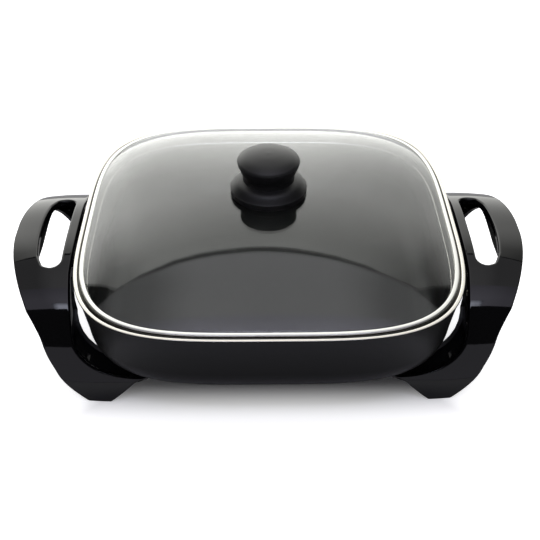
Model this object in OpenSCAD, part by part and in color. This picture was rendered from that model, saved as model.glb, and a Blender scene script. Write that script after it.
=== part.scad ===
// Electric skillet: square cast pan on two moulded handle-and-leg housings,
// with a lift-off domed glass lid. Millimetres, +Z up, origin on the surface
// under the middle of the pan, +X towards the terminal side, front at -Y.

/* [Pan] */
// Outer width of the pan across its rim flange
pan_width = 318; // [280:1:340]
// Height of the rim flange above the surface that the legs stand on
rim_height = 96.5; // [90:0.5:110]
// Outer depth of the pan, from the rim flange to the underside
pan_depth = 67; // [60:1:70]
// Thickness of the pan's side wall
pan_wall = 4.4; // [3.5:0.1:5]
// Thickness of the pan's floor
pan_floor = 4; // [3:0.5:6]
// How far the rim's edge stands out from the side wall
flange_reach = 1.4; // [1:0.1:3]
// Height of the rim's upright outer edge
flange_thickness = 2.4; // [1.8:0.1:3.5]
// Width of the raised bare rim outside the lid's seat
rim_land = 3.3; // [2.5:0.1:4]
// Width of the lid's seat inside the rim
seat_width = 6; // [5:0.2:7]
// Depth of the lid's seat below the rim
seat_drop = 2.4; // [1.6:0.1:3]
// How far the side wall leans inward from the rim to the bottom curve
wall_lean = 5.4; // [3:0.2:7]
// Radius of the curve between side wall and underside
bottom_radius = 28.7; // [22:0.1:32]
// Depth of the bare metal band inside the mouth
mouth_band = 14; // [8:1:18]
// Squareness of the pan and lid: 2 is a circle, higher is squarer
corner_power = 3.85; // [3:0.05:5]

/* [Lid] */
// Thickness of the tempered glass
glass_thickness = 3; // [2.5:0.5:4]
// Rise of the glass dome above its flat edge
dome_rise = 27.2; // [18:0.2:30]
// Share of the dome's rise that is taken up in the steep outer turn
edge_turn = 0.33; // [0.1:0.01:0.4]
// Width of the flat glass edge inside the metal band
glass_land = 2.4; // [2:0.2:3]
// Sheet thickness of the rolled metal band
band_sheet = 0.35; // [0.3:0.05:0.6]
// Thickness of the band's outer side, where its sheet is folded double
band_side = 0.6; // [0.5:0.05:0.9]
// Radius of the band's upper outer edge
band_round = 0.9; // [0.5:0.1:1.2]
// Play all round between the lid band and the side of its seat
seat_play = 1.5; // [0.8:0.1:2]
// Resting gap between the lid band and the floor of its seat
lid_gap = 0.3; // [0.2:0.05:0.6]

/* [Knob] */
// Diameter of the skirt at the foot of the knob
skirt_diameter = 64; // [54:1:74]
// Height of the skirt's upright edge
skirt_edge = 5; // [3:0.5:7]
// Rise of the skirt's cone from its edge to the neck
skirt_rise = 8.6; // [6:0.2:11]
// Diameter of the neck
neck_diameter = 43.4; // [38:0.2:46]
// Diameter of the cap at its widest
cap_diameter = 52; // [48:1:60]
// Height of the widest ring of the cap above the foot of the neck
cap_ring_height = 15.4; // [12:0.2:18]
// Crown of the cap above its widest ring
cap_crown = 7.4; // [5:0.2:10]

/* [Handles] */
// Reach of each grip beyond the pan's rim flange
grip_reach = 59.5; // [54:0.5:66]
// Radius of the grip's outer edge in plan
grip_radius = 190; // [170:1:230]
// Drop from the rim flange to the top of the grip
grip_drop = 9.5; // [7:0.5:14]
// Depth of the grip bar
grip_depth = 19; // [16:0.5:22]
// Distance of the leg's face behind the edge of the rim flange
leg_set_in = 35; // [32:0.5:40]
// Wall thickness of the moulding
skin = 3; // [2.5:0.1:3.5]
// Clearance in plan between the rim flange and the handle
rim_clearance = 4.8; // [4:0.1:7]
// Width of the web between the pan and the finger hole
web_width = 9.2; // [8.5:0.1:11]
// Length of the finger hole
hole_length = 99; // [88:1:104]
// Width of the finger hole at its middle
hole_width = 23; // [20:0.5:24]
// Depth of the lip that lines the finger hole
hole_lip = 6; // [4:0.5:9]
// Depth of the moulding's inner wall, measured back from its face
inner_wall_depth = 23; // [20:0.5:25]
// Half-width of the open arch under the grip
arch_half = 66; // [60:1:70]
// Length of the foot from front to back
foot_length = 25; // [20:1:32]
// Width of the foot's flat sole
foot_width = 18; // [14:0.5:20]
// Thickness of the stiffening ribs
rib_thickness = 2; // [1.6:0.1:2.5]
// Depth of the stiffening ribs behind the face
rib_depth = 14; // [10:0.5:18]

/* [Heater and terminals] */
// Outer diameter of the tubular heating element
element_diameter = 6.5; // [6:0.1:8]
// Half-size of the square element loop, to the tube's centre line
element_half = 70; // [60:1:80]
// Corner radius of the element loop
element_corner = 35; // [25:1:40]
// Diameter of a terminal pin
pin_diameter = 4.8; // [4:0.1:5]
// Distance between the two terminal pins
pin_spacing = 25.4; // [24:0.2:30]
// Length of a terminal pin
pin_length = 26; // [20:1:28]
// Bore of the thermostat well between the pins
well_bore = 7; // [6:0.1:7.4]
// Depth of the thermostat well
well_depth = 50; // [40:1:56]
// Width of the terminal guard
guard_width = 87; // [80:1:92]
// Sheet thickness of the terminal guard
guard_sheet = 1.2; // [0.8:0.1:1.6]

/* [Fasteners] */
// Diameter of the screws
screw_diameter = 4; // [3.5:0.1:4.2]
// Radial clearance round a screw
screw_clearance = 0.05; // [0.02:0.01:0.1]

/* [Hidden] */
$fn = 48;

// Pan: half-sizes and heights of its main rings
ring_points = 72;
rim_half = pan_width / 2;
wall_top_half = rim_half - flange_reach;
wall_foot_half = wall_top_half - wall_lean;
base_half = wall_foot_half - bottom_radius;
base_z = rim_height - pan_depth;
bottom_curve_z = base_z + bottom_radius;
edge_round = 0.6;
seat_half = rim_half - rim_land;
seat_z = rim_height - seat_drop;
mouth_half = seat_half - seat_width;
mouth_step = 1.4;
mouth_z = rim_height - mouth_band;
inner_radius = bottom_radius - pan_floor;
curve_steps = 5;

// Lid: band and glass
band_half = seat_half - seat_play;
glass_half = band_half - band_side;
dome_half = glass_half - glass_land;
band_z = seat_z + lid_gap;
glass_z = band_z + band_sheet;
glass_edge_top = glass_z + glass_thickness;
band_top = glass_edge_top + band_sheet;
glass_top = glass_edge_top + dome_rise;
glass_steps = 11;
glass_hole_radius = 4.5;

// Knob: the skirt's edge hangs just clear of the sloping glass
gasket_thickness = 0.8;
gasket_radius = 14;
skirt_seat_z = glass_top + gasket_thickness;
skirt_radius = skirt_diameter / 2;
skirt_gap = 0.3;
skirt_foot_z = dome_z(skirt_radius) + skirt_gap;
skirt_edge_z = skirt_foot_z + skirt_edge;
neck_radius = neck_diameter / 2;
neck_z = skirt_edge_z + skirt_rise;
cap_radius = cap_diameter / 2;
cap_ring_z = neck_z + cap_ring_height;
cap_top_z = cap_ring_z + cap_crown;
skirt_shell = 2.4;
spigot_radius = 8;
insert_radius = 4.5;
insert_length = 15;
insert_z = skirt_seat_z + skirt_shell;
knob_screw_reach = 12;
knob_washer_radius = 9;
knob_washer_thickness = 1.2;
knob_head_radius = 4.4;
knob_head_height = 2.8;
glass_facet_drop = 0.08;
glass_under_z = dome_z(knob_washer_radius + 1) - glass_thickness - glass_facet_drop;

// Handles: inner edge of the web, finger hole and arch
grip_half = rim_half + grip_reach;
grip_top = rim_height - grip_drop;
leg_reach = rim_half - leg_set_in;
web_half = rim_half + rim_clearance;
hole_inner = web_half + web_width;
hole_outer = hole_inner + hole_width;
hole_arc_radius = 220;
hole_end_radius = 9;
hole_half = hole_length / 2;
arch_top = grip_top - grip_depth;
arch_round = 16;
arch_lean = 4;
rib_heights = [8, 26];
pad_tongue = 17;
outline_steps = 5;
skin_steps = 26;
skin_bow = 3;
skin_fall = 0.75;

// Mounting pads and the lugs that meet them
leg_lug_set_in = 25.5;
leg_lug_at = base_half - leg_lug_set_in;
leg_lug_radius = 7.5;
leg_lug_height = 9;
pad_top = base_z - leg_lug_height;
pad_thickness = 3.5;
pad_radius = leg_lug_radius + 2;
corner_sweep_x = 54;
corner_sweep_z = 33;
corner_start_x = web_half - 3.8 - corner_sweep_x;
foot_set_in = 33.8;
foot_inner_x = web_half - foot_set_in;
foot_outer_x = foot_inner_x + foot_width;
// How far the leg's lower edge lies inside the sole's inner edge, and at what share of the lugs' height
toe_insets = [[5, 0.18], [14.5, 0.56], [19.5, 0.775], [24, 0.87]];
toe_reach = 31;
toe_tip = 0.3;
// Inset of the leg's outer edge from the grip's at each step of its fall
shoulder_insets = [8, 15.5, 24.5, 31.6, 36.1];
shoulder_start = 7;
shoulder_step = 10;
// How far the same edge stands out from the sole's edge, and at what height
ankle_flare = [[30, 32], [22, 20], [14.4, 12], [5, 4]];
web_lug_y = 30;
web_lug_radius = 5.5;
web_lug_z = arch_top + web_lug_radius + 0.5;
lug_bore_depth = 11;
lug_seat_depth = 5;
lug_seat_slack = 0.3;
hole_radius = screw_diameter / 2 + 0.3;
screw_reach = 7;
guard_screw_reach = 4;
washer_thickness = 0.8;
washer_radius = 4.6;
head_radius = 4;
head_height = 2.6;

// Heater loop, terminals and guard
element_radius = element_diameter / 2;
groove_clearance = 0.05;
element_z = base_z - element_radius - 1.75;
ridge_width = 12;
ridge_depth = 6.5;
lead_bend = 12;
lead_y = pin_spacing / 2;
lead_overhang = 2.5;
lead_end = base_half + lead_overhang;
insulator_length = 5;
pin_root_radius = pin_diameter / 2 - 0.5;
pin_root_show = 0.5;
pin_tip = 1;
insulator_radius = element_radius + 1.2;
well_wall = 2;
well_half_width = well_bore / 2 + well_wall;
well_foot_z = element_z - well_half_width;
well_end_wall = 8;
guard_drop = 13;
guard_bottom = base_z - guard_drop;
guard_overhang = 1;
guard_front = rim_half + guard_overhang;
guard_cover = 28;
guard_back = base_half - guard_cover;
guard_cheek = 12;
guard_cheek_slope = 8;
guard_tab = 12;
guard_tab_length = 13;
guard_lug_height = 4;
guard_lug_radius = 5;
guard_lug_x = guard_back + guard_tab_length / 2;
guard_lug_y = guard_width / 2 + guard_tab / 2;
guard_tab_z = base_z - guard_lug_height;
guard_pan_clearance = 2;

// ---- shared geometry ----

// One closed square-round ring of points
function ring(half, z, power = corner_power) = [
    for (i = [0:ring_points - 1])
        let (angle = 360 * i / ring_points, c = cos(angle), s = sin(angle))
        [
            half * sign(c) * pow(abs(c), 2 / power),
            half * sign(s) * pow(abs(s), 2 / power),
            z
        ]
];

// Solid through a list of rings; capped at its ends, or closed like a tyre
module loft(rings, closed = false) {
    count = len(rings);
    last = closed ? count - 1 : count - 2;
    sides = [
        for (level = [0:last], i = [0:ring_points - 1])
            let (up = (level + 1) % count, next = (i + 1) % ring_points)
            [
                level * ring_points + i,
                up * ring_points + i,
                up * ring_points + next,
                level * ring_points + next
            ]
    ];
    first_cap = [for (i = [0:ring_points - 1]) i];
    last_cap = [for (i = [ring_points - 1:-1:0]) (count - 1) * ring_points + i];
    polyhedron(
        points = [for (r = rings) each r],
        faces = closed ? sides : concat([first_cap, last_cap], sides),
        convexity = 8
    );
}

// Points of a smooth curve through the given points
function curve(points, steps) = [
    for (i = [0:len(points) - 2], k = [0:steps - 1])
        let (
            before = points[max(i - 1, 0)],
            here = points[i],
            there = points[i + 1],
            after = points[min(i + 2, len(points) - 1)],
            t = k / steps
        )
        0.5 * (2 * here + (there - before) * t
            + (2 * before - 5 * here + 4 * there - after) * t * t
            + (3 * here - before - 3 * there + after) * t * t * t)
];

// Height of the outer face of the glass at a distance from the middle
function dome_z(half) =
    let (t = min(1, half / dome_half))
    glass_edge_top + dome_rise * (1 - (1 - edge_turn) * t * t - edge_turn * pow(t, 8));

// Squareness of the glass: round at the knob, as square as the rim at the edge
function dome_power(half) = 2 + (corner_power - 2) * pow(min(1, half / dome_half), 2);

module cylinder_x(radius, length) {
    rotate([0, 90, 0])
        cylinder(r = radius, h = length);
}

// ---- pan ----

module pan_shell() {
    outer = concat(
        [for (k = [0:curve_steps])
            let (a = 90 * k / curve_steps)
            ring(base_half + bottom_radius * sin(a), bottom_curve_z - bottom_radius * cos(a))],
        [
            ring(wall_top_half, rim_height - flange_thickness - edge_round),
            ring(rim_half - edge_round, rim_height - flange_thickness),
            ring(rim_half, rim_height - flange_thickness + edge_round),
            ring(rim_half, rim_height - edge_round),
            ring(rim_half - edge_round, rim_height),
            ring(seat_half + edge_round / 2, rim_height),
            ring(seat_half, rim_height - edge_round / 2),
            ring(seat_half, seat_z),
            ring(mouth_half + edge_round, seat_z),
            ring(mouth_half, seat_z - edge_round),
            ring(mouth_half - edge_round, mouth_z),
            ring(mouth_half - edge_round - mouth_step, mouth_z - mouth_step)
        ],
        [for (k = [curve_steps:-1:0])
            let (a = 90 * k / curve_steps)
            ring(base_half + (bottom_radius - pan_wall) * sin(a),
                bottom_curve_z - inner_radius * cos(a))]
    );
    loft(outer);
}

// Round-cornered square path of the element, drawn with a 2-D section
module element_loop(gap) {
    straight = element_half - element_corner;
    for (turn = [0:3])
        rotate([0, 0, 90 * turn])
            translate([straight, straight, element_z])
                rotate_extrude(angle = 90)
                    translate([element_corner, 0])
                        children();
    for (turn = [1:3])
        rotate([0, 0, 90 * turn])
            translate([element_half, straight, element_z])
                rotate([90, 0, 0])
                    linear_extrude(height = 2 * straight)
                        children();
    for (side = [-1, 1])
        translate([element_half, max(side * straight, side * gap), element_z])
            rotate([90, 0, 0])
                linear_extrude(height = straight - gap)
                    children();
}

module pan() {
    color("#26262a")
        difference() {
            union() {
                pan_shell();
                pan_element_ridge();
                pan_lugs();
            }
            element_loop(lead_y + lead_bend)
                circle(r = element_radius + groove_clearance);
            pan_lug_bores();
        }
}

// Cast ridge under the floor that holds the element
module pan_element_ridge() {
    element_loop(lead_y + lead_bend)
        translate([-ridge_width / 2, base_z - ridge_depth - element_z])
            square([ridge_width, ridge_depth + pan_floor / 2]);
}

module pan_lugs() {
    for (x = [-1, 1], y = [-1, 1]) {
        translate([x * leg_lug_at, y * leg_lug_at, pad_top])
            cylinder(r = leg_lug_radius, h = base_z - pad_top + pan_floor / 2);
        mirror([x > 0 ? 0 : 1, 0, 0])
            translate([wall_foot_half - pan_wall / 2, y * web_lug_y, web_lug_z])
                cylinder_x(web_lug_radius, web_half - wall_foot_half + pan_wall / 2);
    }
    for (y = [-1, 1])
        translate([guard_lug_x, y * guard_lug_y, guard_tab_z])
            cylinder(r = guard_lug_radius, h = guard_lug_height + pan_floor / 2);
}

module pan_lug_bores() {
    bore = screw_diameter / 2 + screw_clearance;
    for (x = [-1, 1], y = [-1, 1]) {
        translate([x * leg_lug_at, y * leg_lug_at, pad_top - 1])
            cylinder(r = bore, h = lug_bore_depth);
        mirror([x > 0 ? 0 : 1, 0, 0])
            translate([web_half - lug_bore_depth, y * web_lug_y, web_lug_z])
                cylinder_x(bore, lug_bore_depth + 1);
    }
    for (y = [-1, 1])
        translate([guard_lug_x, y * guard_lug_y, guard_tab_z - 1])
            cylinder(r = bore, h = guard_lug_height + pan_floor / 2);
}

// ---- heating element and terminals ----

module heating_element() {
    color("#6d6a66") {
        union() {
            element_loop(lead_y + lead_bend)
                circle(r = element_radius);
            for (side = [-1, 1])
                element_lead(side);
        }
    }
}

// Bend out of the loop and straight lead to the terminal end
module element_lead(side) {
    mirror([0, side > 0 ? 0 : 1, 0]) {
        translate([element_half + lead_bend, lead_y + lead_bend, element_z])
            rotate_extrude(angle = 90, start = 180)
                translate([lead_bend, 0])
                    circle(r = element_radius);
        translate([element_half + lead_bend, lead_y, element_z])
            cylinder_x(element_radius, lead_end - element_half - lead_bend);
    }
}

// Contact pin, turned down to a thinner root where the bead holds it
module terminal_pin(side) {
    root = insulator_length + pin_root_show;
    color("#c9c6bd")
        translate([lead_end, side * lead_y, element_z]) {
            cylinder_x(pin_root_radius, root + pin_tip);
            translate([root, 0, 0])
                cylinder_x(pin_diameter / 2, pin_length - root - pin_tip);
            translate([pin_length - pin_tip, 0, 0])
                rotate([0, 90, 0])
                    cylinder(r1 = pin_diameter / 2, r2 = pin_diameter / 3, h = pin_tip);
        }
}

module terminal_insulator(side) {
    color("#e8e4d8")
        translate([lead_end, side * lead_y, element_z])
            difference() {
                cylinder_x(insulator_radius, insulator_length);
                translate([-1, 0, 0])
                    cylinder_x(pin_root_radius + screw_clearance, insulator_length + 2);
            }
}

// Block under the floor with the bore that takes the thermostat's tip
module sensor_well() {
    color("#8f8f92")
        difference() {
            translate([lead_end - well_depth - well_end_wall, -well_half_width, well_foot_z])
                cube([well_depth + well_end_wall, 2 * well_half_width, base_z - well_foot_z]);
            translate([lead_end - well_depth, 0, element_z])
                cylinder_x(well_bore / 2, well_depth + 1);
        }
}

// Folded sheet shroud round the terminals, open towards +X
module terminal_guard() {
    color("#3a3a3c")
        difference() {
            union() {
                guard_channel();
                for (y = [-1, 1])
                    guard_flange(y);
            }
            for (y = [-1, 1])
                translate([guard_lug_x, y * guard_lug_y, guard_tab_z - guard_sheet - 1])
                    cylinder(r = hole_radius, h = guard_sheet + 2);
        }
}

// Floor and two side walls; the walls follow the pan's bottom curve
module guard_channel() {
    wall_foot = guard_bottom + guard_sheet;
    translate([guard_back, -guard_width / 2, guard_bottom])
        cube([guard_front - guard_back, guard_width, guard_sheet]);
    for (y = [-1, 1])
        translate([0, y * (guard_width / 2 - guard_sheet / 2) + guard_sheet / 2, 0])
            rotate([90, 0, 0])
                linear_extrude(height = guard_sheet)
                    difference() {
                        polygon([
                            [guard_back, wall_foot - guard_sheet / 2],
                            [guard_front, wall_foot - guard_sheet / 2],
                            [guard_front, base_z + guard_cheek],
                            [guard_front - guard_cheek_slope, base_z + guard_cheek + guard_cheek_slope],
                            [base_half + guard_cheek_slope, base_z + guard_cheek_slope],
                            [base_half, guard_tab_z],
                            [guard_back, guard_tab_z]
                        ]);
                        translate([base_half, bottom_curve_z])
                            circle(r = bottom_radius + guard_pan_clearance);
                    }
}

module guard_flange(y) {
    mirror([0, y > 0 ? 0 : 1, 0])
        translate([guard_back, guard_width / 2 - guard_sheet, guard_tab_z - guard_sheet])
            cube([guard_tab_length, guard_tab + guard_sheet, guard_sheet]);
}

// ---- handles ----

// Side view of the moulding's face, foot to foot: [y, z]
function face_curve(inset = 0) = [
    for (i = [-skin_steps:skin_steps])
        let (
            a = 90 * abs(i) / skin_steps,
            y = (leg_reach - inset) * pow(sin(a), 2 / skin_bow),
            z = (grip_top - inset) * pow(cos(a), 2 * skin_fall)
        )
        [sign(i) * y, z]
];

// Everything behind the face, as a side view
module face_profile(inset = 0) {
    polygon(concat(face_curve(inset), [[leg_reach - inset, -1], [inset - leg_reach, -1]]));
}

// Open arch between the front and rear legs
module arch_profile() {
    half = [
        [0, arch_top], [arch_half - arch_round, arch_top],
        [arch_half - arch_round / 5, arch_top - arch_round * 0.4],
        [arch_half, arch_top - arch_round * 1.25],
        [arch_half + arch_lean, arch_top - arch_round * 2.5],
        [leg_reach - foot_length - arch_lean, arch_lean * 1.5],
        [leg_reach - foot_length, -2]
    ];
    right = concat(curve(half, outline_steps), [half[len(half) - 1]]);
    left = [for (i = [len(right) - 1:-1:0]) [-right[i][0], right[i][1]]];
    polygon(concat(right, left));
}

// Front view of one leg and its tongue: [x, z]. The inner edge sweeps round
// the pan's corner on a quarter ellipse; the outer edge falls in an S to the foot.
module leg_outline() {
    outer = concat(
        [[grip_half + shoulder_insets[0], grip_top + shoulder_start]],
        [
            for (i = [0:len(shoulder_insets) - 1])
                [grip_half - shoulder_insets[i], grip_top - shoulder_start - i * shoulder_step]
        ],
        [for (flare = ankle_flare) [foot_outer_x + flare[0], flare[1]]],
        [[foot_outer_x, 0]]
    );
    lower = concat(
        [[foot_inner_x, 0]],
        [for (inset = toe_insets) [foot_inner_x - inset[0], inset[1] * pad_top]],
        [[foot_inner_x - toe_reach, pad_top - toe_tip]]
    );
    polygon(concat(
        curve(outer, outline_steps), [[foot_outer_x, 0]],
        curve(lower, outline_steps),
        [[foot_inner_x - toe_reach, pad_top - toe_tip], [foot_inner_x - toe_reach, pad_top]],
        [
            for (a = [0:9:90])
                [
                    corner_start_x + corner_sweep_x * sin(a),
                    pad_top + corner_sweep_z * (1 - cos(a))
                ]
        ],
        [[web_half, grip_top - 6], [web_half, grip_top + 8]]
    ));
}

// Plan view of the moulding; the grip's edge is one arc
module plan_outline() {
    intersection() {
        translate([grip_half - grip_radius, 0])
            circle(r = grip_radius, $fn = 160);
        translate([0, -leg_reach - 5])
            square([grip_half + 5, 2 * leg_reach + 10]);
    }
}

// Finger hole: straight beside the web, bowed beside the grip, round ends
module hole_outline() {
    centre_y = hole_half - hole_end_radius;
    hull() {
        for (side = [-1, 1])
            translate([hole_inner + hole_end_radius, side * centre_y])
                circle(r = hole_end_radius, $fn = 32);
        intersection() {
            translate([hole_outer - hole_arc_radius, 0])
                circle(r = hole_arc_radius, $fn = 180);
            translate([hole_inner, -centre_y + 4])
                square([hole_width + 1, 2 * centre_y - 8]);
        }
    }
}

module along_x() {
    rotate([90, 0, 90])
        linear_extrude(height = grip_half + 10)
            children();
}

module along_y() {
    rotate([90, 0, 0])
        linear_extrude(height = 2 * leg_reach + 10, center = true)
            children();
}

module handle_block(inset) {
    intersection() {
        along_x()
            face_profile(inset);
        along_y()
            offset(delta = -inset)
                leg_outline();
        linear_extrude(height = grip_top + 5)
            offset(delta = -inset)
                plan_outline();
    }
}

// Hollow shell: a face with walls all round, open at the back
module handle_shell() {
    difference() {
        handle_block(0);
        handle_block(skin);
    }
    intersection() {
        handle_block(0);
        union() {
            hole_wall();
            handle_ribs();
        }
    }
}

module hole_wall() {
    difference() {
        translate([0, 0, arch_top])
            linear_extrude(height = grip_top)
                offset(delta = skin)
                    hole_outline();
        along_x()
            face_profile(hole_lip);
    }
}

// Ribs across each leg and along its shoulder, shallower than the walls
module handle_ribs() {
    difference() {
        union() {
            for (rise = rib_heights)
                translate([foot_inner_x, -leg_reach, pad_top + rise])
                    cube([grip_half, 2 * leg_reach, rib_thickness]);
            translate([(hole_inner + hole_outer - rib_thickness) / 2, -leg_reach, 0])
                cube([rib_thickness, 2 * leg_reach, grip_top]);
        }
        along_x()
            face_profile(rib_depth);
    }
}

// What is cut back behind the inner wall, on the pan's side of the moulding
module inner_wall_trim() {
    intersection() {
        along_x()
            face_profile(inner_wall_depth);
        translate([0, -leg_reach, -1])
            cube([web_half + skin, 2 * leg_reach, grip_top]);
    }
}

// Flat tongue under each of the pan's base lugs
module leg_pad() {
    translate([leg_lug_at, leg_lug_at, pad_top - pad_thickness]) {
        cylinder(r = pad_radius, h = pad_thickness);
        translate([0, -pad_radius, 0])
            cube([pad_tongue, 2 * pad_radius, pad_thickness]);
    }
}

// Flat seat for a washer inside the web
module web_boss() {
    translate([web_half, web_lug_y, web_lug_z])
        cylinder_x(web_lug_radius + 0.5, skin);
}

module handle() {
    difference() {
        union() {
            difference() {
                handle_shell();
                along_x()
                    arch_profile();
                inner_wall_trim();
                translate([0, 0, -1])
                    linear_extrude(height = grip_top + 5)
                        hole_outline();
            }
            for (side = [0, 1])
                mirror([0, side, 0]) {
                    leg_pad();
                    web_boss();
                }
        }
        handle_bores();
    }
}

// Screw holes, and a flat spot where each of the pan's side lugs meets the web
module handle_bores() {
    for (side = [-1, 1]) {
        translate([leg_lug_at, side * leg_lug_at, 0])
            cylinder(r = hole_radius, h = pad_top + 1);
        translate([web_half - 1, side * web_lug_y, web_lug_z])
            cylinder_x(hole_radius, skin + 2);
        translate([web_half - lug_seat_depth, side * web_lug_y, web_lug_z])
            cylinder_x(web_lug_radius + lug_seat_slack, lug_seat_depth);
    }
}

module left_handle() {
    color("#17171a")
        mirror([1, 0, 0])
            handle();
}

module right_handle() {
    color("#17171a")
        handle();
}

// ---- fasteners ----

// Pan-head screw along +Z, with the underside of its head at z = 0
module screw(length) {
    cylinder(r = screw_diameter / 2, h = length);
    rotate_extrude()
        polygon([
            [0, -head_height], [head_radius * 0.6, -head_height],
            [head_radius, -head_height * 0.55], [head_radius, 0], [0, 0]
        ]);
}

module washer() {
    difference() {
        cylinder(r = washer_radius, h = washer_thickness);
        translate([0, 0, -1])
            cylinder(r = screw_diameter / 2 + 0.2, h = washer_thickness + 2);
    }
}

module at_leg_lugs(z) {
    for (x = [-1, 1], y = [-1, 1])
        translate([x * leg_lug_at, y * leg_lug_at, z])
            children();
}

module at_web_lugs(x) {
    for (side = [0, 1], y = [-1, 1])
        mirror([side, 0, 0])
            translate([x, y * web_lug_y, web_lug_z])
                rotate([0, -90, 0])
                    children();
}

module leg_screws() {
    color("#b9b9bb")
        at_leg_lugs(pad_top - pad_thickness - washer_thickness)
            screw(pad_thickness + washer_thickness + screw_reach);
}

module leg_washers() {
    color("#a6a6a8")
        at_leg_lugs(pad_top - pad_thickness - washer_thickness)
            washer();
}

module web_screws() {
    color("#b9b9bb")
        at_web_lugs(web_half + skin + washer_thickness)
            screw(skin + washer_thickness + screw_reach);
}

module web_washers() {
    color("#a6a6a8")
        at_web_lugs(web_half + skin + washer_thickness)
            washer();
}

module guard_screws() {
    color("#b9b9bb")
        for (y = [-1, 1])
            translate([guard_lug_x, y * guard_lug_y, guard_tab_z - guard_sheet])
                screw(guard_sheet + guard_screw_reach);
}

// ---- lid ----

module lid_glass() {
    inner_span = dome_half - glass_hole_radius;
    halves = concat(
        [glass_half],
        [for (i = [0:glass_steps]) dome_half - inner_span * pow(i / glass_steps, 1.4)]
    );
    upper = [for (h = halves) ring(h, dome_z(h), dome_power(h))];
    lower = [
        for (i = [len(halves) - 1:-1:0])
            ring(halves[i], dome_z(halves[i]) - glass_thickness, dome_power(halves[i]))
    ];
    color("#aebcba", 0.4)
        loft(concat(upper, lower), closed = true);
}

// Rolled channel that holds the glass edge
module lid_band() {
    lip = dome_half;
    color("#d8d8d6")
        loft([
            ring(lip, band_top),
            for (a = [90:-22.5:0])
                ring(band_half - band_round * (1 - cos(a)), band_top - band_round * (1 - sin(a))),
            ring(band_half, band_z + edge_round),
            ring(band_half - edge_round, band_z),
            ring(lip, band_z),
            ring(lip, glass_z),
            ring(glass_half, glass_z),
            ring(glass_half, glass_edge_top),
            ring(lip, glass_edge_top)
        ], closed = true);
}

module knob_cap() {
    bore = insert_radius;
    profile = concat(
        [[bore, insert_z], [spigot_radius, insert_z], [spigot_radius, neck_z - 3]],
        [[neck_radius, neck_z - 1], [neck_radius, neck_z + 3.6]],
        curve([
            [neck_radius, neck_z + 3.6], [cap_radius - 1.6, cap_ring_z - 5.5],
            [cap_radius, cap_ring_z], [cap_radius - 2.6, cap_ring_z + 2.6],
            [cap_radius * 0.7, cap_ring_z + cap_crown * 0.66],
            [cap_radius * 0.36, cap_top_z - cap_crown * 0.09], [0, cap_top_z]
        ], outline_steps),
        [[0, cap_top_z], [0, insert_z + insert_length], [bore, insert_z + insert_length]]
    );
    color("#2b2b2e")
        rotate_extrude($fn = 72)
            polygon(profile);
}

// Cone under the neck, hollow beneath, resting on the upper gasket
module knob_skirt() {
    color("#2b2b2e")
        rotate_extrude($fn = 72)
            polygon(concat(
                [
                    [glass_hole_radius, skirt_seat_z],
                    [gasket_radius + 1, skirt_seat_z],
                    [gasket_radius + 2, skirt_seat_z + 1],
                    [skirt_radius - skirt_shell, skirt_seat_z + 1],
                    [skirt_radius - skirt_shell, skirt_foot_z],
                    [skirt_radius, skirt_foot_z]
                ],
                curve([
                    [skirt_radius, skirt_edge_z], [skirt_radius - 0.7, skirt_edge_z + 0.6],
                    [(skirt_radius + neck_radius) / 2, skirt_edge_z + skirt_rise * 0.62],
                    [neck_radius, neck_z - 1]
                ], outline_steps),
                [
                    [neck_radius, neck_z - 1],
                    [spigot_radius + 0.2, neck_z - 3],
                    [spigot_radius + 0.2, insert_z],
                    [glass_hole_radius, insert_z]
                ]
            ));
}

module knob_insert() {
    color("#b59a56")
        difference() {
            translate([0, 0, insert_z])
                cylinder(r = insert_radius, h = insert_length);
            translate([0, 0, insert_z - 1])
                cylinder(r = screw_diameter / 2 + screw_clearance, h = insert_length);
        }
}

module knob_screw() {
    under = glass_under_z - gasket_thickness - knob_washer_thickness;
    color("#c2c2c4")
        union() {
            translate([0, 0, under])
                cylinder(r = screw_diameter / 2, h = insert_z + knob_screw_reach - under);
            translate([0, 0, under - knob_head_height])
                cylinder(r1 = knob_head_radius - 1, r2 = knob_head_radius, h = knob_head_height);
        }
}

module knob_washer() {
    color("#b9b9bb")
        translate([0, 0, glass_under_z - gasket_thickness - knob_washer_thickness])
            difference() {
                cylinder(r = knob_washer_radius, h = knob_washer_thickness);
                translate([0, 0, -1])
                    cylinder(r = screw_diameter / 2 + 0.2, h = knob_washer_thickness + 2);
            }
}

// Silicone ring between the glass and what is clamped to it
module knob_gasket(z, radius) {
    color("#8d8a86")
        translate([0, 0, z])
            difference() {
                cylinder(r = radius, h = gasket_thickness);
                translate([0, 0, -1])
                    cylinder(r = glass_hole_radius, h = gasket_thickness + 2);
            }
}

module knob_gasket_upper() {
    knob_gasket(glass_top, gasket_radius);
}

module knob_gasket_lower() {
    knob_gasket(glass_under_z - gasket_thickness, knob_washer_radius + 1);
}

pan();
heating_element();
terminal_pin(-1);  // terminal_pin_front
terminal_pin(1);  // terminal_pin_rear
terminal_insulator(-1);  // terminal_insulator_front
terminal_insulator(1);  // terminal_insulator_rear
sensor_well();
terminal_guard();
guard_screws();
left_handle();
right_handle();
leg_screws();
leg_washers();
web_screws();
web_washers();
lid_glass();
lid_band();
knob_cap();
knob_skirt();
knob_insert();
knob_screw();
knob_washer();
knob_gasket_upper();
knob_gasket_lower();
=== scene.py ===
import math

import bmesh
import bpy
import numpy as np
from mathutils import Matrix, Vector
from mathutils.geometry import delaunay_2d_cdt


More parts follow.
